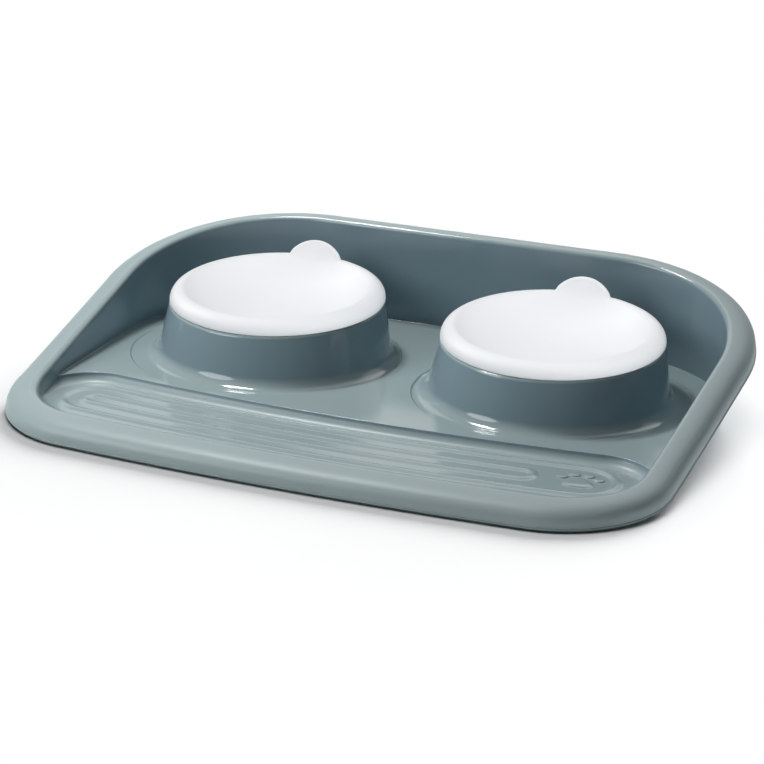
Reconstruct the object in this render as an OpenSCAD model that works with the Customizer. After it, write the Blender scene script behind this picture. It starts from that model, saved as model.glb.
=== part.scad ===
// Feeding tray with two lift-out bowls for a cat or a small dog.
// The tray is one moulding: a tall back and side wall that slopes down to a low
// front, a wide rolled rim, a flat deck that carries two hollow pedestals, and a
// shallow curved basin with ridges along the front. Each bowl drops into the
// round seat on top of its pedestal. The front of the tray faces -Y.

/* [Tray] */
// Overall width across the rim in line with the bowls
tray_w = 434; // [420:1:470]
// Distance from the line of the bowls forward to the front edge of the rim
front_reach = 200.5; // [196:0.5:225]
// Distance from the line of the bowls back to the rear edge of the rim
back_reach = 121.5; // [119:0.5:150]
// Thickness of the moulded plastic
wall = 2.5; // [1.8:0.1:3]
// Height of the deck above the table
deck_h = 11.2; // [10.5:0.1:16]
// Angle by which each side wall opens toward the back
side_flare = 3.2; // [0:0.1:4]
// Plan radius of the two back corners, on the inside
back_corner_r = 100; // [70:1:110]
// Plan radius of the two front corners, on the inside
front_corner_r = 44; // [30:1:60]
// How far the front edge curves back at the two sides
front_bow = 9; // [0:0.5:12]

/* [Rim] */
// Height of the rim crest at the back above the table
rim_back_h = 75.6; // [60:0.2:90]
// Height of the rim crest at the front above the table
rim_front_h = 12.6; // [12.4:0.1:16]
// Slope of the rim along the sides
rim_slope = 14.5; // [12:0.1:18]
// Length over which the slope eases into the level front
rim_ease = 22; // [5:1:30]
// Width of the rolled rim along the front
rim_front_w = 24; // [18:0.5:28]
// Width of the rolled rim along the sides
rim_side_w = 18; // [14:0.5:22]
// Width of the rolled rim along the back
rim_back_w = 22; // [14:0.5:26]
// How far the rim rolls down from its crest
rim_drop = 12; // [8:0.1:12]
// Rounding where the inside of the wall turns over into the rim
rim_inner_r = 3; // [2:0.1:3.5]

/* [Basin] */
// Half width of the front basin, across its ridges
basin_half_w = 33; // [28:0.5:35]
// Depth of the basin below the deck
basin_depth = 5.7; // [4:0.1:6]
// Distance from the line of the bowls to the middle line of the basin
basin_reach = 132.3; // [131:0.1:136]
// Half length of the basin between the middles of its round ends
basin_half_len = 162; // [140:1:165]
// Plan radius of the curved middle line of the basin
basin_curve_r = 1325; // [1100:5:2000]
// Spacing of the ridges on the basin floor
ridge_pitch = 14.1; // [12:0.1:14.5]
// Width of a ridge
ridge_w = 4; // [2:0.1:5]
// Height of a ridge
ridge_h = 1.2; // [0.6:0.1:2]
// How far the ridges stop short of the round end of the basin on the left
ridge_left_gap = 5; // [0:0.5:12]
// How far they stop short of it on the right
ridge_right_gap = 9; // [0:0.5:12]
// Length of floor that the inner ridge leaves free for the paw print
paw_room = 34; // [30:1:50]
// Radius of the main pad of the paw print
paw_pad_r = 7.6; // [4:0.1:8]

/* [Pedestals] */
// Distance between the middles of the two pedestals
bowl_spacing = 187; // [184:0.5:200]
// Radius of a pedestal at the deck
pedestal_base_r = 76; // [74:0.1:80]
// Radius of a pedestal at its top
pedestal_top_r = 69.7; // [69:0.1:71]
// Height of the seat above the deck, in the middle
seat_h = 34.8; // [32:0.1:45]
// Forward tilt of the seat and the bowl
seat_tilt = 4; // [0:0.1:6]
// Backward lean of the pedestal
pedestal_lean = 6; // [0:0.1:7]
// Radius of the shallow dish around a pedestal
dish_r = 88.5; // [84:0.1:90]
// Depth of that dish
dish_depth = 1; // [0.4:0.1:1.2]

/* [Bowls] */
// Outer radius of a bowl rim
bowl_r = 69.8; // [69:0.1:72]
// Height of the bowl rim above the seat
bowl_rim_h = 9.2; // [9:0.1:14]
// Thickness of the bowl
bowl_wall = 2.4; // [1.8:0.1:3]
// Radius of the round top edge of the bowl rim
bowl_roll_r = 8.6; // [6:0.1:8.8]
// Radius of the bowl at the inner edge of its rim
bowl_mouth_r = 60.4; // [60:0.1:63]
// Radius of the bowl inside, where the wall meets the level of the floor
bowl_floor_r = 42; // [38:0.5:44]
// Depth of the bowl floor below the seat
bowl_depth = 10; // [9:0.5:18]
// Rounding between the wall and the floor of a bowl, on the inside
bowl_fillet_r = 50; // [30:0.5:50]
// Height of the rounded ear above the bowl rim
ear_h = 9.7; // [8:0.1:12]
// Radius of the ear
ear_r = 23.6; // [20:0.1:26]
// Thickness of the ear
ear_t = 3.6; // [2.5:0.1:4]
// Outward lean of the ear
ear_lean = 17; // [8:0.5:22]
// Radius of the hollow curves at the foot of the ear
ear_foot_r = 6; // [4:0.1:8]
// Play round a bowl in the opening of its seat
bowl_play = 0.6; // [0.4:0.1:1]
// Gap under the rim of a bowl that stands in its seat
bowl_gap = 0.2; // [0.1:0.05:0.4]

/* [Feet] */
// Radius of a rubber foot
foot_r = 8; // [6:0.1:9]
// Height of a foot
foot_h = 3; // [2.6:0.1:4]
// Depth of the ring that holds a foot
foot_socket_depth = 1; // [0.6:0.1:1.5]
// Thickness of the ring around a foot
foot_ring_w = 1.6; // [1:0.1:2.5]
// Half distance between the two front feet
foot_front_x = 150; // [120:1:155]
// Half distance between the two back feet
foot_back_x = 150; // [120:1:160]
// Distance of the back feet behind the line of the bowls
foot_back_y = 72; // [70:1:76]

/* [Hidden] */
tray_colour = "#74868e";
bowl_colour = "#f2f2f4";
rubber_colour = "#33383b";

// Segments of the round shapes, and of the long flat curves
round_fn = 96;
long_fn = 720;
$fn = round_fn;
// Overrun of a cut past the face that it opens
over = 1;
// Steps round a back corner, along a side, round a front corner and along the front
back_steps = 12;
side_steps = 8;
corner_steps = 8;
front_steps = 12;
// Steps of the rolled rim and of its inner rounding
roll_steps = 8;
round_steps = 3;
// Roundness of the roll: 2 is an ellipse, and more is squarer
roll_power = 2.7;
// Share of the rim width at which the roll starts
roll_start_share = 0.2;
// Share of the rim width at which the front bow is measured
bow_fade_share = 0.34;
// Side lobes, toes and toe distance of the paw print, as shares of its main pad
paw_lobe_share = 0.72;
paw_toe_share = 0.42;
paw_reach_share = 1.72;

// The line of the bowls, placed so that the tray's middle is at Y = 0
row_y = (front_reach - back_reach) / 2;
half_w = tray_w / 2 - rim_side_w;
front_in = front_reach - rim_front_w;
back_in = back_reach - rim_back_w;
deck_under = deck_h - wall;
basin_floor = deck_h - basin_depth;
ridge_left_len = basin_half_len - ridge_left_gap;
ridge_right_len = basin_half_len - ridge_right_gap;
basin_under = basin_floor - wall;
seat_z = deck_h + seat_h;
foot_play = foot_socket_depth / 4;

// Sloping inside wall of a bowl, and the opening that its outside needs
wall_run = bowl_mouth_r - bowl_floor_r;
wall_rise = bowl_rim_h + bowl_depth;
wall_len = norm([wall_run, wall_rise]);
bowl_neck_r = bowl_mouth_r - wall_run * bowl_rim_h / wall_rise + bowl_wall * wall_len / wall_rise;
seat_bore_r = bowl_neck_r + bowl_play;

// Taper of a pedestal, and how far its seat lies behind the line of the bowls
cone_slope = (pedestal_base_r - pedestal_top_r) / seat_h;
cone_foot_y = pedestal_base_r * sin(pedestal_lean) * cone_slope;
seat_shift = cone_foot_y + seat_h * tan(pedestal_lean)
    - pedestal_top_r * sin(pedestal_lean + seat_tilt) * cone_slope;

// Height of the rim crest at a distance y behind the line of the bowls
rim_rise = tan(rim_slope);
knee_y = back_in - (rim_back_h - rim_front_h) / rim_rise;
function crest(y) =
    let (d = y - knee_y) rim_front_h + rim_rise * (d + sqrt(d * d + rim_ease * rim_ease)) / 2;

// Right half of a plan outline from the back to the front, with square sides
function half_outline(w, front, back, rf, rb) = concat(
    [for (i = [0:back_steps]) let (a = 90 - 90 * i / back_steps)
        [w - rb + rb * cos(a), back - rb + rb * sin(a)]],
    [for (i = [1:side_steps]) let (s = i / side_steps)
        [w, (back - rb) * (1 - s) - (front - rf) * s]],
    [for (i = [1:corner_steps]) let (a = -90 * i / corner_steps)
        [w - rf + rf * cos(a), -front + rf + rf * sin(a)]],
    [for (i = [1:front_steps / 2]) let (s = 1 - 2 * i / front_steps)
        [(w - rf) * s, -front]]
);
// The same outline with its flared sides and its bowed front
function bow_weight(y, front) =
    max(0, (-y - bow_fade_share * front) / (front - bow_fade_share * front));
function shaped(p, w, front) = [
    p[0] * (1 + tan(side_flare) * p[1] / w),
    p[1] + front_bow * pow(p[0] / half_w, 2) * bow_weight(p[1], front)
];
function outline(w, front, back, rf, rb) =
    let (
        right = [for (p = half_outline(w, front, back, rf, rb)) shaped(p, w, front)],
        last = len(right) - 1
    )
    concat(right, [for (i = [last - 1:-1:0]) [-right[i][0], right[i][1]]]);

inner_outline = outline(half_w, front_in, back_in, front_corner_r, back_corner_r);
outer_outline = outline(
    half_w + rim_side_w, front_reach, back_reach,
    front_corner_r + (rim_front_w + rim_side_w) / 2,
    back_corner_r + (rim_back_w + rim_side_w) / 2
);
stations = len(inner_outline);
function rim_width(i) = norm(outer_outline[i] - inner_outline[i]);
function outward(i) = (outer_outline[i] - inner_outline[i]) / rim_width(i);
function station_point(i, u, z) =
    let (p = inner_outline[i] + u * outward(i)) [p[0], p[1], z];

// Closed section of the wall and the rolled rim at one station, as [outward, height]
function roll_x(a) = pow(sin(a), 2 / roll_power);
function roll_z(a) = 1 - pow(max(0, cos(a)), 2 / roll_power);
function rim_section(i) =
    let (
        w = rim_width(i),
        top = crest(inner_outline[i][1]),
        start = roll_start_share * w
    )
    concat(
        [[0, basin_under]],
        [for (k = [0:round_steps]) let (a = 90 * k / round_steps)
            [rim_inner_r * (1 - cos(a)), top - rim_inner_r * (1 - sin(a))]],
        [for (k = [0:roll_steps]) let (a = 90 * k / roll_steps)
            [start + (w - start) * roll_x(a), top - rim_drop * roll_z(a)]],
        [for (k = [roll_steps:-1:0]) let (a = 90 * k / roll_steps)
            [start + (w - start - wall) * roll_x(a), top - wall - (rim_drop - wall) * roll_z(a)]],
        [[wall, top - 2 * wall]],
        [[wall, basin_under]]
    );
section_size = len(rim_section(0));

// Side wall and rolled rim, swept once round the tray
module rim_wall() {
    points = [for (i = [0:stations - 1]) for (p = rim_section(i)) station_point(i, p[0], p[1])];
    faces = [for (i = [0:stations - 1]) for (k = [0:section_size - 1])
        let (
            next_i = (i + 1) % stations,
            next_k = (k + 1) % section_size,
            a = i * section_size + k,
            b = next_i * section_size + k,
            c = next_i * section_size + next_k,
            d = i * section_size + next_k
        )
        each [[a, c, b], [a, d, c]]
    ];
    polyhedron(points = points, faces = faces, convexity = 6);
}

// Plan of the floor, which reaches into the middle of the wall
module floor_plan() {
    polygon([for (i = [0:stations - 1]) inner_outline[i] + wall / 2 * outward(i)]);
}

// Slot with round ends that follows the curved middle line of the basin
module bowed_slot(half, left_len, right_len) {
    curve_y = basin_curve_r - basin_reach;
    reach = 2 * basin_curve_r;
    left_a = asin(left_len / basin_curve_r);
    right_a = asin(right_len / basin_curve_r);
    translate([0, curve_y]) {
        intersection() {
            difference() {
                circle(r = basin_curve_r + half, $fn = long_fn);
                circle(r = basin_curve_r - half, $fn = long_fn);
            }
            polygon([
                [0, 0],
                [-reach * sin(left_a), -reach * cos(left_a)],
                [reach * sin(right_a), -reach * cos(right_a)]
            ]);
        }
        for (a = [-left_a, right_a])
            rotate(a)
                translate([0, -basin_curve_r])
                    circle(r = half);
    }
}

// Plan of one ridge that runs round as a closed loop
module ridge_loop(half, left_len, right_len) {
    difference() {
        bowed_slot(half + ridge_w / 2, left_len, right_len);
        bowed_slot(half - ridge_w / 2, left_len, right_len);
    }
}

// Plan of a plain paw print: one broad pad and four toes
module paw_print() {
    toe_angles = [-54, -19, 19, 54];
    paw_turn = asin(ridge_right_len / basin_curve_r);
    translate([0, basin_curve_r - basin_reach])
        rotate(paw_turn)
            translate([0, -basin_curve_r - paw_pad_r / 2]) {
                circle(r = paw_pad_r);
                for (side = [-1, 1])
                    translate([side * paw_pad_r / 2, -paw_pad_r / 3])
                        circle(r = paw_pad_r * paw_lobe_share);
                for (a = toe_angles)
                    rotate(a)
                        translate([0, paw_pad_r * paw_reach_share])
                            circle(r = paw_pad_r * paw_toe_share);
            }
}

// Raised pattern of the basin floor, which ends where it meets the wall
module basin_pattern() {
    translate([0, 0, basin_floor])
        linear_extrude(ridge_h)
            intersection() {
                floor_plan();
                union() {
                    ridge_loop(1.5 * ridge_pitch, ridge_left_len, ridge_right_len);
                    ridge_loop(0.5 * ridge_pitch, ridge_left_len, ridge_right_len - paw_room);
                    paw_print();
                }
            }
}

// Deck and basin as one plate, before the pedestals are opened
module floor_plate() {
    difference() {
        union() {
            translate([0, 0, deck_under])
                linear_extrude(wall)
                    floor_plan();
            translate([0, 0, basin_under])
                linear_extrude(basin_depth)
                    intersection() {
                        floor_plan();
                        bowed_slot(basin_half_w + wall, basin_half_len, basin_half_len);
                    }
        }
        translate([0, 0, basin_floor])
            linear_extrude(basin_depth + over)
                bowed_slot(basin_half_w, basin_half_len, basin_half_len);
        for (side = [-1, 1])
            translate([side * (bowl_spacing / 2 + (dish_r - pedestal_base_r) / 3),
                       -(dish_r - pedestal_base_r) / 3, deck_h - dish_depth])
                cylinder(r = dish_r, h = dish_depth + over);
    }
    basin_pattern();
}

// Everything below the seat plane of one pedestal, lowered by a depth
module below_seat(depth) {
    size = 4 * pedestal_base_r;
    translate([0, seat_shift, seat_z])
        rotate([seat_tilt, 0, 0])
            translate([-size / 2, -size / 2, -size - depth])
                cube(size);
}

// Leaning cone of a pedestal, made thinner all round by an inset
module pedestal_cone(inset, from_z) {
    drop = deck_h - from_z;
    top = 2 * seat_h;
    intersection() {
        translate([0, cone_foot_y, deck_h])
            rotate([-pedestal_lean, 0, 0])
                translate([0, 0, -top])
                    cylinder(
                        r1 = pedestal_base_r + top * cone_slope - inset,
                        r2 = pedestal_base_r - top * cone_slope - inset,
                        h = 2 * top
                    );
        translate([-2 * pedestal_base_r, -2 * pedestal_base_r, from_z])
            cube([4 * pedestal_base_r, 4 * pedestal_base_r, drop + 2 * seat_h]);
    }
}

module pedestal_shell() {
    intersection() {
        pedestal_cone(0, deck_under);
        below_seat(0);
    }
}

// Inside of a pedestal, open toward the table, and the round opening in its top
module pedestal_hollow() {
    intersection() {
        pedestal_cone(wall, deck_under - over);
        below_seat(wall);
    }
    translate([0, seat_shift, seat_z])
        rotate([seat_tilt, 0, 0])
            translate([0, 0, -wall - over])
                cylinder(r = seat_bore_r, h = wall + 2 * over);
}

// Place on the curved middle line of the basin at a distance from the middle
function basin_line_y(x) =
    basin_curve_r - basin_reach - sqrt(basin_curve_r * basin_curve_r - x * x);
function foot_place(side, row) = row < 0
    ? [side * foot_front_x, basin_line_y(foot_front_x)]
    : [side * foot_back_x, foot_back_y];

// Post with a shallow ring under it, which holds one foot
module foot_post(side, row) {
    post_top = row < 0 ? basin_under + wall / 2 : deck_under + wall / 2;
    post_z = foot_h - foot_socket_depth;
    translate(concat(foot_place(side, row), [post_z]))
        difference() {
            cylinder(r = foot_r + foot_play + foot_ring_w, h = post_top - post_z);
            translate([0, 0, -over])
                cylinder(r = foot_r + foot_play, h = foot_socket_depth + over);
        }
}

module tray() {
    color(tray_colour)
        translate([0, row_y, 0]) {
            rim_wall();
            difference() {
                union() {
                    floor_plate();
                    for (side = [-1, 1])
                        translate([side * bowl_spacing / 2, 0, 0])
                            pedestal_shell();
                }
                for (side = [-1, 1])
                    translate([side * bowl_spacing / 2, 0, 0])
                        pedestal_hollow();
            }
            for (side = [-1, 1])
                for (row = [-1, 1])
                    foot_post(side, row);
        }
}

// Half section of a bowl: X is the radius, and Y the height above the seat.
// Filled inside of a bowl, grown outward by a thickness
module bowl_inside(grow) {
    r = bowl_fillet_r + grow;
    fillet_y = bowl_fillet_r - bowl_depth;
    // The round corner touches the sloping wall and the floor
    slope_x = bowl_floor_r + wall_run * bowl_fillet_r / wall_rise;
    fillet_x = slope_x - bowl_fillet_r * wall_len / wall_rise;
    touch = [fillet_x + r * wall_rise / wall_len, fillet_y - r * wall_run / wall_len];
    mouth = [bowl_mouth_r + grow * wall_len / wall_rise, bowl_rim_h];
    union() {
        polygon([
            [0, bowl_rim_h],
            [0, -bowl_depth - grow],
            [fillet_x, -bowl_depth - grow],
            touch,
            mouth
        ]);
        intersection() {
            translate([fillet_x, fillet_y])
                circle(r = r);
            translate([0, -bowl_depth - grow])
                square([bowl_r, min(fillet_y, bowl_rim_h) + bowl_depth + grow]);
        }
    }
}

// Filled outside of the rolled rim, drawn in by a thickness
module bowl_roll(inset) {
    roll_c = [bowl_r - bowl_roll_r, bowl_rim_h - bowl_roll_r];
    intersection() {
        union() {
            translate(roll_c)
                circle(r = bowl_roll_r - inset);
            translate([0, -inset])
                square([bowl_r - inset, roll_c[1] + inset]);
            translate([0, -inset])
                square([roll_c[0], bowl_rim_h]);
        }
        translate([0, -inset])
            square([bowl_r, bowl_rim_h + inset]);
    }
}

module bowl_section() {
    difference() {
        union() {
            bowl_inside(bowl_wall);
            bowl_roll(0);
        }
        bowl_inside(0);
        difference() {
            bowl_roll(bowl_wall);
            bowl_inside(bowl_wall);
        }
        translate([0, bowl_rim_h])
            square([bowl_r, 2 * bowl_rim_h]);
    }
}

// Front view of the ear, with hollow curves where it meets the rim
module ear_shape() {
    top = bowl_rim_h + ear_h;
    mid = top - ear_r;
    foot_y = bowl_rim_h - ear_foot_r / 4;
    side = sqrt(pow(ear_r + ear_foot_r, 2) - pow(foot_y + ear_foot_r - mid, 2));
    touch_share = ear_r / (ear_r + ear_foot_r);
    touch = [side * touch_share, mid + (foot_y + ear_foot_r - mid) * touch_share];
    translate([0, mid])
        circle(r = ear_r);
    difference() {
        polygon([
            [-side, foot_y], [side, foot_y], touch, [-touch[0], touch[1]]
        ]);
        for (s = [-1, 1])
            translate([s * side, foot_y + ear_foot_r])
                circle(r = ear_foot_r);
    }
}

// Ear: the back of the bowl wall carried on upward, cut to a round outline
module ear() {
    top = bowl_rim_h + ear_h;
    in_top = bowl_mouth_r + ear_h * tan(ear_lean);
    intersection() {
        rotate_extrude($fn = round_fn)
            polygon([
                [bowl_mouth_r, bowl_rim_h - bowl_roll_r],
                [bowl_mouth_r + ear_t, bowl_rim_h - bowl_roll_r],
                [bowl_mouth_r + ear_t, bowl_rim_h],
                [in_top + ear_t, top + over],
                [in_top, top + over],
                [bowl_mouth_r, bowl_rim_h]
            ]);
        translate([0, bowl_r + over, 0])
            rotate([90, 0, 0])
                linear_extrude(bowl_r / 2)
                    intersection() {
                        ear_shape();
                        translate([-bowl_r, bowl_rim_h - bowl_roll_r + over / 2])
                            square([2 * bowl_r, 2 * bowl_r]);
                    }
    }
}

module bowl(side) {
    color(bowl_colour)
        translate([side * bowl_spacing / 2, row_y + seat_shift, seat_z])
            rotate([seat_tilt, 0, 0])
                translate([0, 0, bowl_gap]) {
                    rotate_extrude()
                        bowl_section();
                    ear();
                }
}
module left_bowl() {
    bowl(-1);
}
module right_bowl() {
    bowl(1);
}

// Rubber foot with a rounded lower edge
module foot(side, row) {
    edge_r = foot_h / 4;
    color(rubber_colour)
        translate(concat(foot_place(side, row) + [0, row_y], [0]))
            rotate_extrude()
                union() {
                    square([foot_r - edge_r, foot_h]);
                    translate([0, edge_r])
                        square([foot_r, foot_h - edge_r]);
                    translate([foot_r - edge_r, edge_r])
                        circle(r = edge_r);
                }
}
module foot_front_left() {
    foot(-1, -1);
}
module foot_front_right() {
    foot(1, -1);
}
module foot_back_left() {
    foot(-1, 1);
}
module foot_back_right() {
    foot(1, 1);
}

tray();
left_bowl();
right_bowl();
foot_front_left();
foot_front_right();
foot_back_left();
foot_back_right();
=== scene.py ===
import math

import bmesh
import bpy
from mathutils import Matrix, Vector


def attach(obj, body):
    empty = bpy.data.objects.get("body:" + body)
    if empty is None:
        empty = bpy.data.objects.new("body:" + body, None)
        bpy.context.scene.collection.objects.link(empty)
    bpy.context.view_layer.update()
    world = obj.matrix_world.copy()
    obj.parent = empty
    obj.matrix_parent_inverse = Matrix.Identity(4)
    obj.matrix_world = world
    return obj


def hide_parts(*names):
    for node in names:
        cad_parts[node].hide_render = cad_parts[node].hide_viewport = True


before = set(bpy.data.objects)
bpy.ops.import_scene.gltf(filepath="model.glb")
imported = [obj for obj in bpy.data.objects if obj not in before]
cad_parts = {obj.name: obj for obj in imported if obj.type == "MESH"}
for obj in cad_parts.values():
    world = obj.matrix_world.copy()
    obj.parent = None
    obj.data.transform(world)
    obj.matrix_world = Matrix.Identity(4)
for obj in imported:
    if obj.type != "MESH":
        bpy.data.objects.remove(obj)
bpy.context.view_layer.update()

# Side wall and rolled rim of the tray.
# The whole tray is one blue-grey polypropylene moulding. Its wall stands nearly
# upright on the inside, turns over a tight rounding and rolls outward and down.
mm = 0.001
# Plan points are in mm from the midpoint between the bowls, which is this far behind the origin.
row_y = 39.5
table_to_deck = 11.2
basin_floor = 5.5
# The inside of the wall in plan, the width of the rim outside it, and corner radii as (front, back).
half_w = 199.0
front_in = 176.5
back_in = 99.5
inner_corners = (44.0, 100.0)
rim_side = 17.8
rim_front = 24.0
rim_back = 22.0
outer_corners = (65.0, 120.0)
# The sides draw together towards the front, and the front edge bows out in its middle.
side_splay = math.tan(math.radians(3.2))
front_bow = 9.0
bow_from = 0.34
# The crest is level in front and climbs straight to the back, with a soft bend between.
front_crest = 12.6
back_crest = 75.6
crest_slope = math.tan(math.radians(14.5))
crest_bend = 22.0
# Section of the rim: its small roundings, where its roll begins, how full that is and how far it falls.
inner_round = 3.0
roll_from = 0.2
roll_power = 2 / 2.7
rim_drop = 12.0
lip = 0.5
# The hollow at the wall's foot grows from the sides to the front, between two turns of the outline.
cove_side = 0.5
cove_front = 15.0
sweep_from = 2.75
sweep_to = 3.9


def crest(y):
    """Height of the rim crest above the table: level in front, then a straight climb to the back."""
    knee = back_in - (back_crest - front_crest) / crest_slope
    d = y - knee
    return front_crest + crest_slope * (d + math.sqrt(d * d + crest_bend * crest_bend)) / 2


def plan_point(turn, side, half, front, back, front_r, back_r):
    """Point of a plan outline. Turn 0 is the middle of the back, turn 5 the middle of the front."""
    part = min(int(turn), 4)
    s = turn - part
    if part == 0:
        x, y = (half - back_r) * s, back
    elif part == 1:
        a = math.pi / 2 * (1 - s)
        x, y = half - back_r + back_r * math.cos(a), back - back_r + back_r * math.sin(a)
    elif part == 2:
        x, y = half, (back - back_r) * (1 - s) - (front - front_r) * s
    elif part == 3:
        a = -math.pi / 2 * s
        x, y = half - front_r + front_r * math.cos(a), -front + front_r + front_r * math.sin(a)
    else:
        x, y = (half - front_r) * (1 - s), -front
    weight = max(0.0, (-y - bow_from * front) / ((1 - bow_from) * front))
    splayed = x * (1 + side_splay * y / half)
    return Vector((side * splayed, y + front_bow * (x / half_w) ** 2 * weight))


def inner_line(turn, side):
    """Plan point on the inside of the wall."""
    return plan_point(turn, side, half_w, front_in, back_in, *inner_corners)


def outer_line(turn, side):
    """Plan point on the outer edge of the rim."""
    return plan_point(turn, side, half_w + rim_side, front_in + rim_front, back_in + rim_back, *outer_corners)


def eased(value, low, high):
    """Soft change from 0 at the low value to 1 at the high one."""
    s = min(1.0, max(0.0, (value - low) / (high - low)))
    return s * s * (3 - 2 * s)


def between(start, end, share):
    """Pair that lies a share of the way from one pair to another."""
    return tuple((1 - share) * p + share * q for p, q in zip(start, end))


def wall_foot(turn, side):
    """Plan point where the flat floor ends and the hollow curve up to the wall begins."""
    inner = inner_line(turn, side)
    out = (outer_line(turn, side) - inner).normalized()
    return inner - out * (cove_side + (cove_front - cove_side) * eased(turn, sweep_from, sweep_to))


# The basin's back edge steps down from the deck: a crisp edge, a short steep face and
# a long hollow curve, as (distance into the basin, height above the table).
basin_half = 33.0
basin_r = 1325.0
basin_ahead = 132.3
basin_reach = 162.0
basin_centre_y = basin_r - basin_ahead
end_turn = math.asin(basin_reach / basin_r)
step_edge = 0.5
step_run = 7.2
step_hollow = 7.08
step_line = []
for degrees in range(0, 76, 15):
    a = math.radians(degrees)
    step_line.append((step_edge * math.sin(a), table_to_deck - step_edge * (1 - math.cos(a))))
for degrees in range(66, -1, -6):
    a = math.radians(degrees)
    step_line.append((step_run - step_hollow * math.sin(a), basin_floor + step_hollow * (1 - math.cos(a))))


def basin_point(a, r=basin_r):
    """Plan point at an angle along the basin, on its curved middle line or on one beside it."""
    return Vector((r * math.sin(a), basin_centre_y - r * math.cos(a)))


def turn_where(reach):
    """Turn on the straight side at which the wall foot is that far from the basin's round end."""
    low, high = 2.0, 2.995
    for _ in range(60):
        middle = (low + high) / 2
        near = (wall_foot(middle, 1) - basin_point(end_turn)).length
        low, high = (middle, high) if near > reach else (low, middle)
    return low


# Steps in the back, back corner, side, front corner and front of the outline. Where the basin's
# step meets the side wall, its own crossings take the place of the even steps.
outline_steps = (3, 30, 34, 24, 18)
crossings = [turn_where(basin_half - d) for d, z in step_line]
step_from = crossings[0] - 0.02
step_to = min(3.0, crossings[-1] + 0.02)
turns = [part + i / steps for part, steps in enumerate(outline_steps) for i in range(steps)]
turns = sorted([t for t in turns if not step_from < t < step_to] + crossings + [5.0])
# Every turn on the right side and then back along the left one.
stations = [(t, 1) for t in turns] + [(t, -1) for t in reversed(turns[1:-1])]


def floor_height(turn):
    """Height of the floor at the wall foot: deck, basin, or on the step between them."""
    if turn <= crossings[0]:
        return table_to_deck
    if turn >= crossings[-1]:
        return basin_floor
    nearest = min(range(len(crossings)), key=lambda k: abs(crossings[k] - turn))
    return step_line[nearest][1]


def wall_section(turn, side):
    """Section from the floor up the wall and over the rim, as (outward, height) pairs."""
    inner = inner_line(turn, side)
    width = (outer_line(turn, side) - inner).length
    top = crest(inner.y)
    low = floor_height(turn)
    upright = []
    for i in range(7):
        a = math.radians(15 * i)
        upright.append((cove_side * (math.sin(a) - 1), low + cove_side * (1 - math.cos(a))))
    for i in range(1, 5):
        upright.append((0.0, low + cove_side + (top - inner_round - low - cove_side) * i / 5))
    for i in range(7):
        a = math.radians(15 * i)
        upright.append((inner_round * (1 - math.cos(a)), top - inner_round * (1 - math.sin(a))))
    section = []
    for i, plain in enumerate(upright):
        s = i / (len(upright) - 1)
        swept = (-cove_front + (cove_front + inner_round) * s, low + (top - low) * s * s * (3 - 2 * s))
        section.append(between(plain, swept, eased(turn, sweep_from, sweep_to)))
    start = roll_from * width
    section.append(((inner_round + start) / 2, top))
    for i in range(19):
        a = math.pi / 2 * i / 18
        out = math.sin(a) ** roll_power
        fall = 1 - max(0.0, math.cos(a)) ** roll_power
        section.append((start + (width - lip - start) * out, top - (rim_drop - 2 * lip) * fall))
    for degrees in (60, 30, 0, -30, -60, -90):
        a = math.radians(degrees)
        section.append((width - lip * (1 - math.cos(a)), top - rim_drop + lip + lip * math.sin(a)))
    return section


def scene_place(point, height):
    """Place in the scene of a plan point at a height above the table."""
    return Vector((point.x, point.y + row_y, height)) * mm


def rim_place(turn, side, pair):
    inner = inner_line(turn, side)
    out = (outer_line(turn, side) - inner).normalized()
    return scene_place(inner + out * pair[0], pair[1])


def first_ring(name, places):
    """Adds a circle and sets its points on the places. It stays in edit mode with the ring selected."""
    bpy.ops.object.select_all(action="DESELECT")
    bpy.ops.mesh.primitive_circle_add(vertices=len(places), radius=mm)
    piece = bpy.context.object
    piece.name = piece.data.name = name
    for point, place in zip(piece.data.vertices, places):
        point.co = place
    bpy.ops.object.mode_set(mode="EDIT")
    bpy.ops.mesh.select_all(action="SELECT")
    return piece, list(range(len(places)))


def next_ring(piece, ring, places):
    """Extrudes the selected ring and draws each new point to its place."""
    bpy.ops.mesh.extrude_edges_move()
    shape = bmesh.from_edit_mesh(piece.data)
    shape.verts.index_update()
    shape.verts.ensure_lookup_table()
    drawn = []
    for index, place in zip(ring, places):
        old = shape.verts[index]
        new = [e.other_vert(old) for e in old.link_edges if e.other_vert(old).select][0]
        new.co = place
        drawn.append(new.index)
    bmesh.update_edit_mesh(piece.data)
    return drawn


def drawn_through(name, rows, close_first=False, close_last=False):
    """Skin drawn from a circle through rows of places. One closed at both ends is turned outside out."""
    piece, ring = first_ring(name, rows[0])
    if close_first:
        bpy.ops.mesh.edge_face_add()
    for row in rows[1:]:
        ring = next_ring(piece, ring, row)
    if close_last:
        bpy.ops.mesh.edge_face_add()
    if close_first and close_last:
        bpy.ops.mesh.select_all(action="SELECT")
        bpy.ops.mesh.normals_make_consistent(inside=False)
    bpy.ops.object.mode_set(mode="OBJECT")
    return piece


def linear(hex_colour):
    """An sRGB hex colour as the linear values that a shader takes."""
    parts = [int(hex_colour[i:i + 2], 16) / 255 for i in (1, 3, 5)]
    return [c / 12.92 if c <= 0.04045 else ((c + 0.055) / 1.055) ** 2.4 for c in parts] + [1.0]


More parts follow.
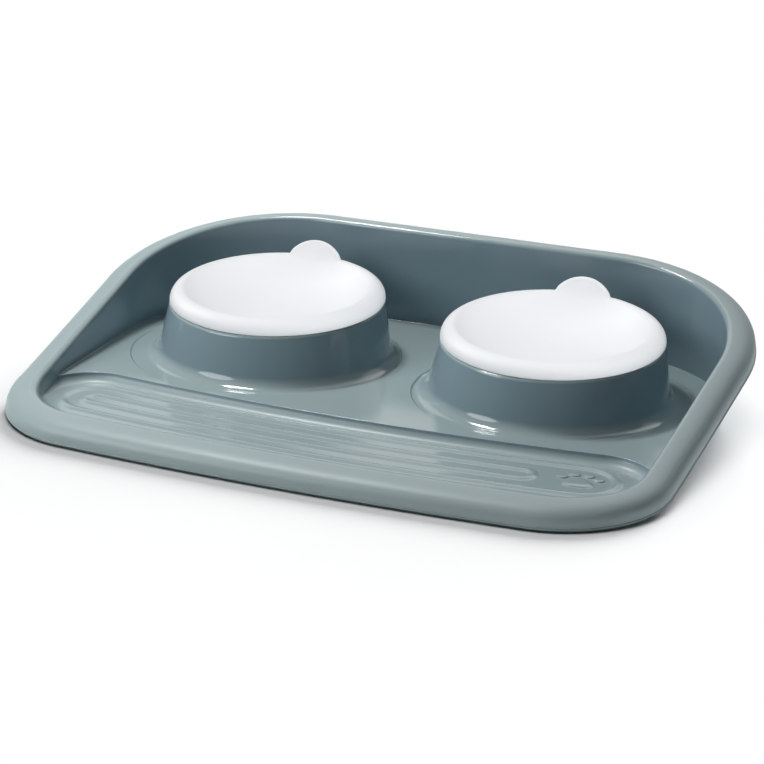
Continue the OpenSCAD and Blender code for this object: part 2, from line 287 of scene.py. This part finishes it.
def add_node(material, kind, settings=None, by_place=(), **links):
    """Adds a node, sets its plain settings and links its inputs, by their place or by name."""
    tree = material.node_tree
    node = tree.nodes.new(kind)
    for name, value in (settings or {}).items():
        if hasattr(node, name) and name not in node.inputs:
            setattr(node, name, value)
        else:
            node.inputs[name].default_value = value
    for place, source in enumerate(by_place):
        tree.links.new(source, node.inputs[place])
    for name, source in links.items():
        tree.links.new(source, node.inputs[name.replace("_", " ")])
    return node


def new_material(name):
    material = bpy.data.materials.new(name)
    material.use_nodes = True
    material.node_tree.nodes.clear()
    return material


def add_noise(material, grain, detail):
    """Noise on Object coordinates with grains of about that many mm."""
    coords = add_node(material, "ShaderNodeTexCoord")
    noise = add_node(material, "ShaderNodeTexNoise", {"Scale": 1 / (grain * mm), "Detail": detail},
                     Vector=coords.outputs["Object"])
    return noise.outputs["Fac"]


def add_bump(material, grain, detail, strength, depth):
    """Surface grain of a moulded part, with its depth in mm."""
    bump = add_node(material, "ShaderNodeBump", {"Strength": strength, "Distance": depth * mm},
                    Height=add_noise(material, grain, detail))
    return bump.outputs["Normal"]


# Polypropylene from a polished mould: an even colour and a wet-looking gloss, with
# the faint unevenness of a large moulded face. The rolled rim is satin outside. The
# faces that look up and the satin outside of the roll get a paler colour painted on:
# painted light, standing in for the light that falls on them. The mould's
# grain is some tenths of a millimetre in truth and drawn coarser, so that it shows.
polypropylene_ior = 1.49
flow_mark = 71.4
fine_grain = 2.86


def moulded_polypropylene(name, upright_colour, painted_light_colour):
    material = new_material(name)
    satin_and_painted_light = add_node(material, "ShaderNodeAttribute", {"attribute_name": "satin_and_painted_light"}).outputs["Fac"]
    low = add_node(material, "ShaderNodeMapRange", {"To Min": 0.07, "To Max": 0.42}, Value=satin_and_painted_light)
    high = add_node(material, "ShaderNodeMapRange", {"To Min": 0.12, "To Max": 0.5}, Value=satin_and_painted_light)
    gloss = add_node(material, "ShaderNodeMapRange", Value=add_noise(material, flow_mark, 2.0),
                     To_Min=low.outputs["Result"], To_Max=high.outputs["Result"])
    # Painted light: upward faces and the satin outer roll are mixed towards a paler colour.
    facing = add_node(material, "ShaderNodeNewGeometry")
    parts = add_node(material, "ShaderNodeSeparateXYZ", Vector=facing.outputs["Normal"])
    painted_light_upward = add_node(material, "ShaderNodeMapRange",
                      {"interpolation_type": "SMOOTHSTEP", "From Min": 0.15, "From Max": 0.85},
                      Value=parts.outputs["Z"])
    painted_light_on_roll = add_node(material, "ShaderNodeMapRange", {"From Min": 0.8, "From Max": 1.0}, Value=satin_and_painted_light)
    painted_light_mask = add_node(material, "ShaderNodeMath", {"operation": "MAXIMUM"},
                    (painted_light_upward.outputs["Result"], painted_light_on_roll.outputs["Result"]))
    painted_light_tone = add_node(material, "ShaderNodeMixRGB",
                    {"Color1": linear(upright_colour), "Color2": linear(painted_light_colour)},
                    Fac=painted_light_mask.outputs["Value"])
    plastic = add_node(material, "ShaderNodeBsdfPrincipled", {"IOR": polypropylene_ior},
                       Base_Color=painted_light_tone.outputs["Color"], Roughness=gloss.outputs["Result"],
                       Normal=add_bump(material, fine_grain, 2.0, 0.05, 0.02))
    add_node(material, "ShaderNodeOutputMaterial", Surface=plastic.outputs["BSDF"])
    return material


# The second colour is painted light, the paler tone painted on upward faces and the outer roll.
tray_plastic = moulded_polypropylene("polypropylene_moulded_blue_grey", "#8399a3", "#9fb0b2")

sections = [wall_section(t, s) for t, s in stations]
rows = []
for k in range(len(sections[0])):
    rows.append([rim_place(t, s, section[k]) for (t, s), section in zip(stations, sections)])
rim = drawn_through("tray_moulding", rows)
rim.data.materials.append(tray_plastic)
# The gloss of the inside turns to satin between these rows of the section.
last_gloss_row = 14
first_satin_row = 21
# Where this value nears 1, on the outer roll, it also paints the paler tone of painted light.
finish = rim.data.attributes.new("satin_and_painted_light", "FLOAT", "POINT")
for point in rim.data.vertices:
    row = point.index // len(stations)
    finish.data[point.index].value = eased(row, last_gloss_row, first_satin_row)

# Back edge of the basin.
# The flat deck drops into the basin over a smooth step. Its line runs parallel to
# the front of the tray and curves round at both ends until it meets the side wall.
columns = 60
end_columns = 14
face_satin = 0.8
edge_satin = 0.1


def end_axes(side, turn):
    """Plan directions at a turn of the basin: back towards the bowls, and along it to its end."""
    return Vector((-side * math.sin(turn), math.cos(turn))), Vector((side * math.cos(turn), math.sin(turn)))


def round_end(side, turn, half, bend, count):
    """Arc round one end of the basin's middle line, from the bowls' side towards the front."""
    back, along = end_axes(side, turn)
    bends = [bend * i / count for i in range(count + 1)]
    return [basin_point(side * turn) + half * (math.cos(a) * back + math.sin(a) * along) for a in bends]


def step_points(half, bend):
    """Line at a distance behind the basin's middle line, turned round both ends by the bend."""
    straight = [basin_point(end_turn * (2 * i / columns - 1), basin_r - half) for i in range(1, columns)]
    left = round_end(-1, end_turn, half, bend, end_columns)
    return left[::-1] + straight + round_end(1, end_turn, half, bend, end_columns)


def bend_where(turn):
    """Angle round the basin's end at which the wall foot lies."""
    to = wall_foot(turn, 1) - basin_point(end_turn)
    back, along = end_axes(1, end_turn)
    return math.atan2(to.dot(along), to.dot(back))


lines = []
for (d, z), turn in zip(step_line, crossings):
    line = step_points(basin_half - d, bend_where(turn))
    line[0] = wall_foot(turn, -1)
    line[-1] = wall_foot(turn, 1)
    lines.append([scene_place(p, z) for p in line])
bpy.ops.object.select_all(action="DESELECT")
bpy.ops.mesh.primitive_grid_add(x_subdivisions=len(lines[0]) - 1, y_subdivisions=len(lines) - 1, size=mm)
step = bpy.context.object
# The steep face and the hollow under the crisp edge are satin.
finish = step.data.attributes.new("satin_and_painted_light", "FLOAT", "POINT")
for k, line in enumerate(lines):
    for i, place in enumerate(line):
        step.data.vertices[k * len(line) + i].co = place
        finish.data[k * len(line) + i].value = face_satin if 2 < k < len(lines) - 1 else edge_satin

# Ridges and paw print of the basin.
# Two ridges run round in long loops, moulded on the basin's floor, and a plain paw
# print stands in the space that the inner loop leaves at the right-hand end.
ridge_pitch = 14.1
ridge_reach = 4.4
ridge_h = 1.0
loop_left = 157.0
outer_loop_right = 153.0
inner_loop_right = 119.0
pattern_satin = 0.06


def loop_row(half, left, right, z):
    """Closed row round the basin's middle line at a distance from it, between two end turns."""
    front = [basin_point(right + (-left - right) * i / columns, basin_r + half) for i in range(1, columns)]
    behind = [basin_point(-left + (right + left) * i / columns, basin_r - half) for i in range(1, columns)]
    right_end = round_end(1, right, half, math.pi, 24)
    left_end = round_end(-1, left, half, math.pi, 24)
    return [scene_place(p, z) for p in right_end + front + left_end[::-1] + behind]


def ridge_height(offset):
    return basin_floor + ridge_h * (1 + math.cos(math.pi * offset / ridge_reach)) / 2


offsets = [ridge_reach * (1 - i / 7) for i in range(15)]
ridges = []
for half, loop_right in ((1.5 * ridge_pitch, outer_loop_right), (0.5 * ridge_pitch, inner_loop_right)):
    left = math.asin(loop_left / basin_r)
    right = math.asin(loop_right / basin_r)
    rows = [loop_row(half + o, left, right, ridge_height(o)) for o in offsets]
    ridges.append(drawn_through("ridge", rows, close_last=half < ridge_pitch))

pad_r = 7.6
toe_r = 0.42 * pad_r
toe_reach = 1.72 * pad_r
print_turn = math.asin(outer_loop_right / basin_r)
print_middle = basin_point(print_turn)
print_up, print_side = end_axes(1, print_turn)
# Shares of a pad's radius and height, from its foot to its top.
pad_profile = ((1.12, 0.0), (1.06, 0.08), (1.0, 0.3), (0.92, 0.62), (0.8, 0.86), (0.6, 0.97), (0.3, 1.0))


def broad_pad(a):
    """Share of the radius round the broad pad: wide, with soft corners, one of them to the toes."""
    return 1 - 0.11 * math.sin(3 * a) - 0.06 * math.cos(2 * a + math.pi)


def round_toe(a):
    return 1.0


pads = [(0.0, 0.0, pad_r, broad_pad)]
for degrees in (-54, -19, 19, 54):
    a = math.radians(degrees)
    pads.append((-toe_reach * math.sin(a), toe_reach * math.cos(a), toe_r, round_toe))
for across, up, radius, outline in pads:
    rows = []
    for share, rise in pad_profile:
        row = []
        for i in range(36):
            a = 2 * math.pi * i / 36
            r = share * radius * outline(a)
            point = print_middle + print_side * (across + r * math.cos(a))
            point = point + print_up * (up + r * math.sin(a) - pad_r / 2)
            row.append(scene_place(point, basin_floor + ridge_h * rise))
        rows.append(row)
    ridges.append(drawn_through("paw_pad", rows, close_last=True))


def select_open_edges(piece, wanted):
    """Selects the edges with one face whose two ends are both wanted."""
    bpy.ops.object.mode_set(mode="EDIT")
    bpy.ops.mesh.select_mode(type="EDGE")
    bpy.ops.mesh.select_all(action="DESELECT")
    shape = bmesh.from_edit_mesh(piece.data)
    for edge in shape.edges:
        edge.select_set(len(edge.link_faces) == 1 and all(wanted(v.co) for v in edge.verts))
    bmesh.update_edit_mesh(piece.data)


def joined(pieces):
    """The pieces joined into the first of them."""
    bpy.ops.object.select_all(action="DESELECT")
    for piece in pieces:
        piece.select_set(True)
    bpy.context.view_layer.objects.active = pieces[0]
    bpy.ops.object.join()
    return pieces[0]


def from_middle_line(place):
    """Distance of a place from the curved middle line of the basin, in mm."""
    point = Vector((place.x / mm, place.y / mm - row_y))
    to = point - Vector((0.0, basin_centre_y))
    turn = min(end_turn, max(-end_turn, math.atan2(to.x, -to.y)))
    return (point - basin_point(turn)).length


pattern = joined(ridges)
finish = pattern.data.attributes.new("satin_and_painted_light", "FLOAT", "POINT")
for point in pattern.data.vertices:
    finish.data[point.index].value = pattern_satin
select_open_edges(pattern, lambda co: from_middle_line(co) < 1.5 * ridge_pitch)
bpy.ops.mesh.fill()
bpy.ops.object.mode_set(mode="OBJECT")

# Pedestals.
# Two hollow pedestals grow out of the deck in one piece with it. Each stands in a
# shallow round dish, leans back a little and tapers to a tilted seat with a round
# opening that the bowl drops into.
bowl_half = 93.5
base_r = 76.0
seat_r = 69.7
seat_h = 34.8
taper = (base_r - seat_r) / seat_h
lean = math.radians(6.0)
tilt = math.radians(4.0)
foot_y = base_r * math.sin(lean) * taper
seat_shift = foot_y + seat_h * math.tan(lean) - seat_r * math.sin(lean + tilt) * taper
foot_curve = 7.0
seat_edge = 1.6
bore_r = 55.5
dish_reach = 12.5
dish_shift = dish_reach / 3
dish_edge = 1.3
dish_depth = 1.0
axis = Vector((0.0, math.sin(lean), math.cos(lean)))
across_axis = Vector((0.0, math.cos(lean), -math.sin(lean)))
seat_normal = Vector((0.0, -math.sin(tilt), math.cos(tilt)))
seat_middle = Vector((0.0, seat_shift, seat_h))
# Radius and height of the rings on the flat seat and on the soft edge of its opening.
seat_rings = ((66.0, 0.0), (bore_r + 0.5, -0.02), (bore_r + 0.1, -0.4))


def cone_place(a, run):
    """Point on the leaning cone of a pedestal, from its foot centre on the deck."""
    around = Vector((math.cos(a), 0.0, 0.0)) + across_axis * math.sin(a)
    return Vector((0.0, foot_y, 0.0)) + axis * run + around * (base_r - taper * run)


def cone_run_at_height(a, z):
    """How far along its axis the cone's side reaches a height."""
    tip = math.sin(a) * math.sin(lean)
    return (z + base_r * tip) / (math.cos(lean) + taper * tip)


def cone_run_at_seat(a, below):
    """How far along its axis the cone's side reaches the plane of the seat, or a plane below it."""
    low = (cone_place(a, 0.0) - seat_middle).dot(seat_normal)
    high = (cone_place(a, 1.0) - seat_middle).dot(seat_normal)
    return (low + below) / (low - high)


def pedestal_rows(side):
    """Rows of places from the edge of the dish up the cone, over its edge and to the opening."""
    rows = []
    angles = [2 * math.pi * i / 128 for i in range(128)]
    stand = Vector((side * bowl_half, 0.0, 0.0))
    dish = Vector((side * (bowl_half + dish_shift), -dish_shift, 0.0))
    seat = stand + seat_middle

    def add(points):
        rows.append([scene_place(p, p.z + table_to_deck) for p in points])

    for i in range(7):
        s = i / 6
        r = base_r + dish_reach - dish_edge * s
        sunk = Vector((0, 0, -dish_depth * s * s * (3 - 2 * s)))
        add([dish + Vector((math.cos(a), math.sin(a), 0.0)) * r + sunk for a in angles])
    feet = []
    for a in angles:
        run = cone_run_at_height(a, -dish_depth)
        foot = stand + cone_place(a, run)
        above = stand + cone_place(a, run + 1.0)
        out = Vector((foot.x - stand.x, foot.y - stand.y - foot_y, 0.0)).normalized()
        feet.append((foot, out, (above - foot).normalized()))
    for i in range(10):
        t = math.radians(10 * i)
        add([foot + out * foot_curve * (1 - math.sin(t)) + up * foot_curve * (1 - math.cos(t))
             for foot, out, up in feet])
    for i in range(1, 5):
        ring = []
        for a in angles:
            low = cone_run_at_height(a, -dish_depth) + foot_curve
            high = cone_run_at_seat(a, seat_edge)
            ring.append(stand + cone_place(a, low + (high - low) * i / 4))
        add(ring)
    corners = []
    for a in angles:
        corner = stand + cone_place(a, cone_run_at_seat(a, 0.0))
        up = (cone_place(a, 1.0) - cone_place(a, 0.0)).normalized()
        corners.append((corner, up, (seat - corner).normalized()))
    for i in range(1, 7):
        t = math.radians(15 * i)
        add([corner - up * seat_edge * (1 - math.sin(t)) + inward * seat_edge * (1 - math.cos(t))
             for corner, up, inward in corners])
    for r, rise in seat_rings:
        ring = []
        for a in angles:
            flat = Vector((math.cos(a), math.sin(a) * math.cos(tilt), math.sin(a) * math.sin(tilt)))
            ring.append(seat + flat * r + seat_normal * rise)
        add(ring)
    return rows


pedestals = [drawn_through("pedestal", pedestal_rows(side)) for side in (-1, 1)]

# Deck, and the tray made one piece.
# The flat deck and the basin floor close the gaps between wall, step, ridges and
# pedestals. The skin then gets the 2.5 mm wall of the real moulding.
wall_t = 2.5
close_to = 0.001 * mm
for piece in [step, pattern] + pedestals:
    piece.data.materials.append(tray_plastic)
tray = joined([rim, step, pattern] + pedestals)
bpy.ops.object.mode_set(mode="EDIT")
bpy.ops.mesh.select_all(action="SELECT")
bpy.ops.mesh.remove_doubles(threshold=2 * close_to)
bpy.ops.object.mode_set(mode="OBJECT")
for height in (table_to_deck, basin_floor):
    select_open_edges(tray, lambda co: abs(co.z - height * mm) < close_to)
    bpy.ops.mesh.fill()
    bpy.ops.object.mode_set(mode="OBJECT")
bpy.ops.object.mode_set(mode="EDIT")
bpy.ops.mesh.select_all(action="SELECT")
bpy.ops.mesh.normals_make_consistent(inside=False)
bpy.ops.object.mode_set(mode="OBJECT")
# An open skin can come out turned over as a whole, so the deck's faces are made to look up.
deck_faces = [f for f in tray.data.polygons if abs(f.center.z - table_to_deck * mm) < close_to]
if sum(f.normal.z * f.area for f in deck_faces) < 0:
    bpy.ops.object.mode_set(mode="EDIT")
    bpy.ops.mesh.select_all(action="SELECT")
    bpy.ops.mesh.flip_normals()
    bpy.ops.object.mode_set(mode="OBJECT")


def select_only(piece):
    bpy.ops.object.select_all(action="DESELECT")
    piece.select_set(True)
    bpy.context.view_layer.objects.active = piece


def add_modifier(piece, kind, **settings):
    """Adds a modifier with its settings and applies it."""
    select_only(piece)
    modifier = piece.modifiers.new(kind.lower(), kind)
    for name, value in settings.items():
        setattr(modifier, name, value)
    bpy.ops.object.modifier_apply(modifier=modifier.name)


add_modifier(tray, "SOLIDIFY", thickness=wall_t * mm, offset=-1, use_even_offset=False)
bpy.ops.object.shade_smooth_by_angle(angle=math.radians(40))
add_modifier(tray, "WEIGHTED_NORMAL", keep_sharp=True, weight=50)

# Posts under the tray.
# A short post comes down from the plate over each foot. The shallow ring at its
# lower end holds the rubber disc.
post_x = 150.0
front_post_y = basin_centre_y - math.sqrt(basin_r * basin_r - post_x * post_x)
back_post_y = 72.0
post_r = 9.85
ring_r = 8.25
ring_edge = 0.2
ring_bottom = 2.0
ring_top = 3.0
post_angles = [2 * math.pi * i / 64 for i in range(64)]
posts = []
for y, plate in ((front_post_y, basin_floor), (back_post_y, table_to_deck)):
    for x in (-post_x, post_x):
        rows = []
        for r, z in ((ring_r, ring_top), (ring_r, ring_bottom + ring_edge),
                     (ring_r + ring_edge, ring_bottom), (post_r - ring_edge, ring_bottom),
                     (post_r, ring_bottom + ring_edge), (post_r, plate - wall_t / 2)):
            rows.append([scene_place(Vector((x + r * math.cos(a), y + r * math.sin(a))), z)
                         for a in post_angles])
        piece = drawn_through("foot_post", rows, close_first=True, close_last=True)
        bpy.ops.object.shade_smooth_by_angle(angle=math.radians(30))
        piece.data.materials.append(tray_plastic)
        posts.append(piece)
tray = joined([tray] + posts)
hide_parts("tray")
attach(tray, "tray")

# Bowls.
# Each bowl is a white moulded ABS shell with a thick rounded rim that rests on the
# seat. A round ear rises from the back of its inner wall to lift it by.
seat_gap = 0.2
shell_t = 2.4
hollow_r = 50.0
hollow_x = 20.66
hollow_z = 40.0
flare = 18.4 / 19.2
slope = math.degrees(math.atan(flare))
outside_x = 54.91
rim_h = 9.2
roll_r = 8.6
roll_x = 61.2
roll_z = 0.6
# Degrees round the rolled rim at which the ear leaves it and at which the mouth's rounding starts.
ear_leaves = 59
roll_ends = 79.5
shoulder_r = 65.63
shoulder_z = 7.97
mouth_r = 60.4
mouth_round = 4
mouth_x = 62.034
mouth_z = 5.124
mouth_low = (59.147, 7.893)
ear_end = (57.5, 6.173)
ear_out = math.tan(math.radians(17.0))
ear_r = 23.6
ear_h = 9.7
ear_t = 3.4
ear_foot = 6.0
ear_at = 62.6
ear_full = 2.6
ear_low = ear_h - ear_r
ear_spread = math.sqrt((ear_r + ear_foot) ** 2 - (ear_foot - ear_low) ** 2)
ear_touch = ear_spread * ear_r / (ear_r + ear_foot)
# The narrow ring under the rim that rests on the seat, with its two edges taken off.
rim_foot = [(67.4, 0.3), (67.7, 0.0), (69.35, 0.0), (69.65, 0.1), (69.77, 0.32)]


def ear_height(across):
    """Height of the ear above the rim at a distance from its middle, with hollow feet."""
    x = abs(across)
    if x < ear_touch:
        return ear_low + math.sqrt(ear_r * ear_r - x * x)
    if x < ear_spread:
        return ear_foot - math.sqrt(ear_foot ** 2 - (ear_spread - x) ** 2)
    return 0.0


def on_circle(x, z, r, degrees):
    """Pair on a circle of the section, at an angle up from straight outward."""
    a = math.radians(degrees)
    return (x + r * math.cos(a), z + r * math.sin(a))


def bowl_section(across):
    """Closed section of the bowl: from under its floor round the rim, and back to its floor inside."""
    height = ear_height(across)
    share = eased(height, 0.0, ear_full)
    outside_r = hollow_r + shell_t
    section = [(7.0, hollow_z - outside_r), (14.0, hollow_z - outside_r)]
    for i in range(14):
        section.append(on_circle(hollow_x, hollow_z, outside_r, -90 + i * (90 - slope) / 13))
    for z in (4.6, 5.4, 6.2):
        section.append((outside_x + flare * z, z))
    for degrees in (82, 66, 48, 30, 12):
        section.append(on_circle(roll_x, roll_z, roll_r - shell_t, degrees))
    section += rim_foot
    for i in range(11):
        section.append(on_circle(roll_x, roll_z, roll_r, ear_leaves * i / 10))
    tip = ear_t / 2
    tip_z = rim_h + height - tip
    tip_r = mouth_r + ear_out * (tip_z - rim_h) + tip
    for i in range(1, 8):
        q = i / 7
        plain = on_circle(roll_x, roll_z, roll_r, ear_leaves + (roll_ends - ear_leaves) * q)
        z = shoulder_z + (tip_z - shoulder_z) * q ** 1.4
        side = mouth_r + ear_out * (z - rim_h) + ear_t
        section.append(between(plain, (side + (shoulder_r - side) * (1 - q) ** 2.5, z), share))
    for i in range(1, 13):
        q = i / 12
        plain = on_circle(mouth_x, mouth_z, mouth_round, roll_ends + (180 - roll_ends - slope) * q)
        section.append(between(plain, on_circle(tip_r, tip_z, tip, 180 * q), share))
    for i in range(1, 8):
        q = i / 7
        plain = between(mouth_low, ear_end, q)
        raised = tuple((1 - q) ** 2 * s + 2 * q * (1 - q) * m + q * q * e
                       for s, m, e in zip((tip_r - tip, tip_z), (mouth_r, rim_h), ear_end))
        section.append(between(plain, raised, share))
    for i in range(20):
        section.append(on_circle(hollow_x, hollow_z, hollow_r, -slope - (90 - slope) * i / 19))
    return section + [(14.0, hollow_z - hollow_r), (7.0, hollow_z - hollow_r)]


# Angles round the bowl: close together over the ear, then even round the rest.
foot_turn = math.asin(ear_spread / (ear_r + ear_foot))
half_ear = [ear_spread - ear_foot * math.sin(foot_turn * i / 7) for i in range(7)]
half_ear += [ear_r * math.sin(foot_turn * (1 - i / 17)) for i in range(17)]
whole_ear = half_ear + [0.0] + [-x for x in reversed(half_ear)]
angles = [math.acos(x / ear_at) for x in whole_ear]
last = angles[-1]
rest = 2 * math.pi - (last - angles[0])
angles += [last + rest * i / 104 for i in range(1, 104)]
sections = [bowl_section(ear_at * math.cos(a) if a < math.pi else ear_at) for a in angles]
rows = []
for k in range(len(sections[0])):
    pairs = [section[k] for section in sections]
    rows.append([Vector((r * math.cos(a), r * math.sin(a), z)) * mm for a, (r, z) in zip(angles, pairs)])
bowl = drawn_through("left_bowl_shell", rows, close_first=True, close_last=True)

# White ABS from a fine-blasted mould: an opaque body and a soft gloss that hardly
# changes over a few centimetres. Its grain too is drawn coarser than it is.
abs_flow_mark = 50.0
abs_grain = 2.5
bowl_abs = new_material("abs_moulded_white")
gloss = add_node(bowl_abs, "ShaderNodeMapRange", {"To Min": 0.4, "To Max": 0.48},
                 Value=add_noise(bowl_abs, abs_flow_mark, 2.0))
plastic = add_node(bowl_abs, "ShaderNodeBsdfPrincipled", {"Base Color": linear("#f7f8fa"), "IOR": 1.5},
                   Roughness=gloss.outputs["Result"],
                   Normal=add_bump(bowl_abs, abs_grain, 2.0, 0.05, 0.02))
add_node(bowl_abs, "ShaderNodeOutputMaterial", Surface=plastic.outputs["BSDF"])
bowl.data.materials.clear()
bowl.data.materials.append(bowl_abs)

select_only(bowl)
bpy.ops.object.duplicate()
right_bowl = bpy.context.object
right_bowl.name = right_bowl.data.name = "right_bowl_shell"
for side, piece in ((-1, bowl), (1, right_bowl)):
    seat = Vector((side * bowl_half, row_y + seat_shift, table_to_deck + seat_h)) + seat_normal * seat_gap
    select_only(piece)
    piece.location = seat * mm
    piece.rotation_euler = (tilt, 0.0, 0.0)
    bpy.ops.object.transform_apply(location=True, rotation=True, scale=True)
    bpy.ops.object.shade_smooth_by_angle(angle=math.radians(50))
    name = "left_bowl" if side < 0 else "right_bowl"
    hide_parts(name)
    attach(piece, name)

# Feet.
# Four black rubber discs, pressed into the rings under the tray. Their CAD solids
# have the real shape already and stay.
# Moulded rubber: nearly black, dull, with a grit of about a millimetre.
rubber_grit = 1.11
rubber = new_material("rubber_moulded_black")
body = add_node(rubber, "ShaderNodeBsdfPrincipled", {"Base Color": linear("#2b2e30"), "Roughness": 0.7},
                Normal=add_bump(rubber, rubber_grit, 3.0, 0.3, 0.1))
add_node(rubber, "ShaderNodeOutputMaterial", Surface=body.outputs["BSDF"])
for name in ("foot_front_left", "foot_front_right", "foot_back_left", "foot_back_right"):
    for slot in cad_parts[name].material_slots:
        slot.material = rubber

# Floor, light and camera.
# A white studio table before a white backdrop, softboxes near the tray, even light of
# their own for the white bowls and for the table, and the photograph's own viewpoint.
studio_size = 16.0
backdrop_y = 7.0


def seen(material):
    """1 for the camera and for gloss that mirrors the studio, 0 for the light that it throws back."""
    path = add_node(material, "ShaderNodeLightPath")
    either = add_node(material, "ShaderNodeMath", {"operation": "MAXIMUM"},
                      (path.outputs["Is Camera Ray"], path.outputs["Is Glossy Ray"]))
    return either.outputs["Value"]


bpy.ops.object.select_all(action="DESELECT")
bpy.ops.mesh.primitive_plane_add(size=studio_size, location=(0.0, 0.0, 0.0))
floor = bpy.context.object
floor.name = "studio_floor"
paper = new_material("studio_paper_white")
dull = add_node(paper, "ShaderNodeBsdfDiffuse", {"Color": linear("#ededed")})
white = add_node(paper, "ShaderNodeBsdfDiffuse", {"Color": linear("#f6f6f6")})
mix = add_node(paper, "ShaderNodeMixShader", None, (seen(paper), dull.outputs["BSDF"], white.outputs["BSDF"]))
add_node(paper, "ShaderNodeOutputMaterial", Surface=mix.outputs["Shader"])
floor.data.materials.append(paper)

bpy.ops.mesh.primitive_plane_add(size=studio_size, location=(0.0, backdrop_y, 0.0),
                                 rotation=(math.pi / 2, 0.0, 0.0))
backdrop = bpy.context.object
backdrop.name = "studio_backdrop"
cloth = new_material("studio_backdrop_white")
glow = add_node(cloth, "ShaderNodeEmission", Strength=seen(cloth))
add_node(cloth, "ShaderNodeOutputMaterial", Surface=glow.outputs["Emission"])
backdrop.data.materials.append(cloth)
backdrop.visible_shadow = False

world = bpy.data.worlds.new("studio")
bpy.context.scene.world = world
world.use_nodes = True
sky = world.node_tree.nodes["Background"]
sky.inputs["Color"].default_value = linear("#ecf7ff")
sky.inputs["Strength"].default_value = 0.06
lit_point = Vector((0.0, row_y, 30.0)) * mm


def aim(name, lamp, toward, distance, lit, unlit=()):
    """Adds a lamp that faces the part from a direction, for the pieces that it lights."""
    holder = bpy.data.objects.new(name, lamp)
    bpy.context.scene.collection.objects.link(holder)
    holder.location = Vector(toward).normalized() * distance + lit_point
    holder.rotation_euler = (-Vector(toward)).to_track_quat("-Z", "Y").to_euler()
    linked = bpy.data.collections.new(name)
    for piece in list(lit) + list(unlit):
        linked.objects.link(piece)
    for entry in list(linked.collection_objects)[len(lit):]:
        entry.light_linking.link_state = "EXCLUDE"
    holder.light_linking.receiver_collection = linked


def add_softbox(name, toward, distance, size, watts):
    """A round softbox near the part, which lights the tray and the feet."""
    lamp = bpy.data.lights.new(name, "AREA")
    lamp.shape = "DISK"
    lamp.size = size
    lamp.energy = watts
    aim(name, lamp, toward, distance, (), (floor, bowl, right_bowl))


def add_far_light(name, toward, degrees, strength, lit):
    """A light from far off, as wide as that many degrees of the sky, for the pieces that are given."""
    lamp = bpy.data.lights.new(name, "SUN")
    lamp.angle = math.radians(degrees)
    lamp.energy = strength
    aim(name, lamp, toward, 2.0, lit)


add_softbox("key_softbox_high_left", (-0.40, 0.13, 0.907), 1.0, 0.2, 5.7)
add_softbox("fill_softbox_front_left", (-0.6, -0.65, 0.5), 0.9, 0.5, 3.2)
add_softbox("softbox_above_the_back", (0.0, 0.6, 0.8), 2.0, 1.6, 6.0)
add_far_light("bowl_light_left", (-0.85, 0.05, 0.5), 40.0, 1.16, (bowl, right_bowl))
add_far_light("bowl_light_front_right", (0.7, -0.4, 0.6), 50.0, 1.05, (bowl, right_bowl))
add_far_light("bowl_light_overhead", (0.0, 0.0, 1.0), 170.0, 1.65, (bowl, right_bowl))
add_far_light("floor_light_overhead", (0.0, 0.1, 1.0), 50.0, 1.4, (floor,))
add_far_light("floor_light_behind", (0.05, 0.87, 0.42), 40.0, 4.65, (floor,))

# The photograph's viewpoint, worked out from the edges that it shows.
bpy.context.scene.view_settings.view_transform = "Standard"
camera_place = Vector((488.17, -1232.51, 462.12))
camera_turn = math.radians(21.7)
camera_dip = math.radians(18.61)
camera_roll = math.radians(1.79)
ahead = Vector((-math.sin(camera_turn) * math.cos(camera_dip),
                math.cos(camera_turn) * math.cos(camera_dip),
                -math.sin(camera_dip)))
right = Vector((math.cos(camera_turn), math.sin(camera_turn), 0.0))
up = right.cross(ahead)
camera_x = math.cos(camera_roll) * right + math.sin(camera_roll) * up
camera_y = -math.sin(camera_roll) * right + math.cos(camera_roll) * up
camera_data = bpy.data.cameras.new("photo_camera")
camera_data.sensor_width = 36.0
camera_data.lens = 106.24
camera = bpy.data.objects.new("photo_camera", camera_data)
bpy.context.scene.collection.objects.link(camera)
placed = Matrix((camera_x, camera_y, -ahead)).transposed().to_4x4()
placed.translation = camera_place * mm
camera.matrix_world = placed
bpy.context.scene.camera = camera
